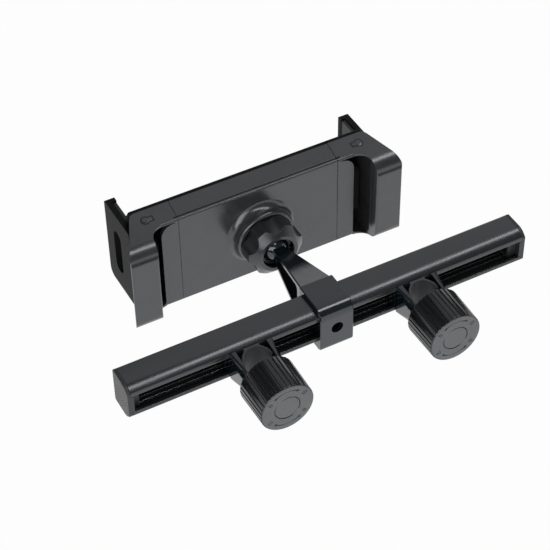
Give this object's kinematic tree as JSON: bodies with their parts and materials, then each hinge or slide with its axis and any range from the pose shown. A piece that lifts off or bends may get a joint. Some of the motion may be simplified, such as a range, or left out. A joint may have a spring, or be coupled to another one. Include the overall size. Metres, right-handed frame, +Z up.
{
  "type": "headrest tablet mount",
  "caption": "Slotted rail that clamps to headrest posts, with a ball-jointed arm and a spring-loaded sliding holder for a tablet.",
  "frame": {"origin": "midway between the axes of the two headrest posts that the clamps take, level with the rail", "axes": "+X along the rail, +Y from the headrest posts to the tablet, +Z up along the posts"},
  "size_m": [0.24, 0.16, 0.0678],
  "materials": {
    "holder_shell": "fine matte grain, satin sheen",
    "glossy_moulding": "smooth gloss, blue-black",
    "rail_aluminium": "black anodised, satin",
    "end_cap_plastic": "fine raised diamond pattern",
    "pad_rubber": "matte",
    "knob_plastic": "fluted sides, matte face",
    "knob_face": "matte grey-black disc",
    "nut_plastic": "satin",
    "collet_plastic": "threaded, semi-gloss",
    "liner_plastic": "low friction natural plastic",
    "slider_plastic": "satin",
    "gear_plastic": "natural acetal",
    "screw_steel": "blackened steel",
    "spring_steel": "bright spring wire"
  },
  "bodies": {
    "mount_frame": {"rail": "rail_aluminium", "end_cap_left": "end_cap_plastic", "end_cap_right": "end_cap_plastic", "ball_arm": "glossy_moulding", "arm_screw": "screw_steel"},
    "clamp_left": {"clamp_yoke_left": "glossy_moulding", "post_pad_left": "pad_rubber"},
    "knob_travel_left": {"knob_plug_left": "knob_face"},
    "knob_turn_left": {"knob_left": "knob_plastic"},
    "clamp_right": {"clamp_yoke_right": "glossy_moulding", "post_pad_right": "pad_rubber"},
    "knob_travel_right": {"knob_plug_right": "knob_face"},
    "knob_turn_right": {"knob_right": "knob_plastic"},
    "liner": {"socket_liner": "liner_plastic"},
    "nut": {"locking_nut": "nut_plastic"},
    "holder": {"ball_collet": "collet_plastic", "collet_screw": "screw_steel", "holder_back_shell": "holder_shell", "holder_front_cover": "holder_shell", "centre_pad": "pad_rubber", "pinion_pin": "screw_steel", "return_spring_left": "spring_steel", "return_spring_right": "spring_steel"},
    "arm_right": {"grip_right": "holder_shell", "hook_bracket_right": "holder_shell", "hook_pad_right": "pad_rubber", "front_pad_right": "pad_rubber", "slider_right": "slider_plastic"},
    "arm_left": {"grip_left": "holder_shell", "hook_bracket_left": "holder_shell", "hook_pad_left": "pad_rubber", "front_pad_left": "pad_rubber", "slider_left": "slider_plastic"},
    "pinion": {"sync_pinion": "gear_plastic"}
  },
  "joints": [
    {"name": "clamp_slide_left", "type": "slide", "parent": "mount_frame", "child": "clamp_left", "axis": [1, 0, 0], "range_m": [-0.048, 0.026]},
    {"name": "knob_travel_left", "type": "slide", "parent": "clamp_left", "child": "knob_travel_left", "axis": [0, -1, 0], "range_m": [-0.006, 0.02]},
    {"name": "knob_turn_left", "type": "hinge", "parent": "knob_travel_left", "child": "knob_turn_left", "pos_m": [-0.05, 0, 0], "axis": [0, -1, 0], "range_deg": [-733.2, 2441.7]},
    {"name": "clamp_slide_right", "type": "slide", "parent": "mount_frame", "child": "clamp_right", "axis": [1, 0, 0], "range_m": [-0.026, 0.048]},
    {"name": "knob_travel_right", "type": "slide", "parent": "clamp_right", "child": "knob_travel_right", "axis": [0, -1, 0], "range_m": [-0.006, 0.02]},
    {"name": "knob_turn_right", "type": "hinge", "parent": "knob_travel_right", "child": "knob_turn_right", "pos_m": [0.05, 0, 0], "axis": [0, -1, 0], "range_deg": [-733.2, 2441.7]},
    {"name": "ball_pan", "type": "hinge", "parent": "mount_frame", "child": "liner", "pos_m": [0, 0.0782, 0], "axis": [0, 0, 1], "range_deg": [-14, 14]},
    {"name": "ball_tilt", "type": "hinge", "parent": "liner", "child": "nut", "pos_m": [0, 0.0782, 0], "axis": [1, 0, 0], "range_deg": [-14, 14]},
    {"name": "ball_roll", "type": "hinge", "parent": "nut", "child": "holder", "pos_m": [0, 0.0782, 0], "axis": [0, 1, 0], "continuous": true},
    {"name": "arm_slide_right", "type": "slide", "parent": "holder", "child": "arm_right", "axis": [1, 0, 0], "range_m": [0, 0.037], "stiffness_N_per_m": 120, "springref_m": -0.02, "deforming": ["return_spring_right"]},
    {"name": "arm_slide_left", "type": "slide", "parent": "holder", "child": "arm_left", "axis": [-1, 0, 0], "range_m": [0, 0.037], "stiffness_N_per_m": 120, "springref_m": -0.02, "deforming": ["return_spring_left"]},
    {"name": "pinion_turn", "type": "hinge", "parent": "holder", "child": "pinion", "pos_m": [0, 0.0782, 0], "axis": [0, 1, 0], "range_deg": [0, 304]}
  ],
  "couplings": [
    {"joint": "knob_turn_left", "follows": "knob_travel_left", "rad_per_m": 2129.9},
    {"joint": "knob_turn_right", "follows": "knob_travel_right", "rad_per_m": 2129.9},
    {"joint": "arm_slide_left", "follows": "arm_slide_right", "ratio": 1},
    {"joint": "pinion_turn", "follows": "arm_slide_right", "rad_per_m": 142.86}
  ]
}
